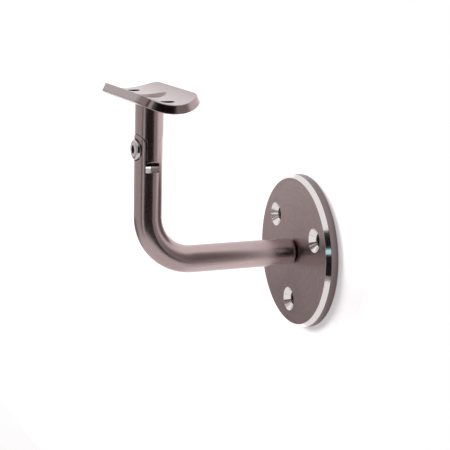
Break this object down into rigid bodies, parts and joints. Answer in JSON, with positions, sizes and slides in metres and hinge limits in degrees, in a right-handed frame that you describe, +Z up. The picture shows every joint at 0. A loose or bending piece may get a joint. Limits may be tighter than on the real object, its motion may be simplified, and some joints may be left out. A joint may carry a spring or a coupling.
{
  "type": "handrail bracket",
  "caption": "Wall-mounted handrail bracket: a round flange with countersunk holes, a bent bar with a forked top, and a curved saddle plate on a tilting stub.",
  "frame": {"origin": "centre of the wall flange's back face, where it meets the wall", "axes": "+Z up, +Y into the wall and along the arm's horizontal run, +X along the rail; the arm reaches out along -Y and turns up along +Z"},
  "size_m": [0.08, 0.1026, 0.127],
  "materials": {
    "flange_steel": "satin, turned",
    "bar_steel": "polished satin",
    "plate_steel": "polished satin",
    "screw_steel": "bright"
  },
  "bodies": {
    "bracket": {"wall_flange": "flange_steel", "arm": "bar_steel", "pivot_screw": "screw_steel"},
    "head": {"swivel_stub": "bar_steel", "saddle_plate": "plate_steel", "saddle_screw": "screw_steel"}
  },
  "joints": [
    {"name": "knuckle_tilt", "type": "hinge", "parent": "bracket", "child": "head", "pos_m": [0, -0.0866, 0.057], "axis": [0, 1, 0], "range_deg": [-75, 75]}
  ]
}
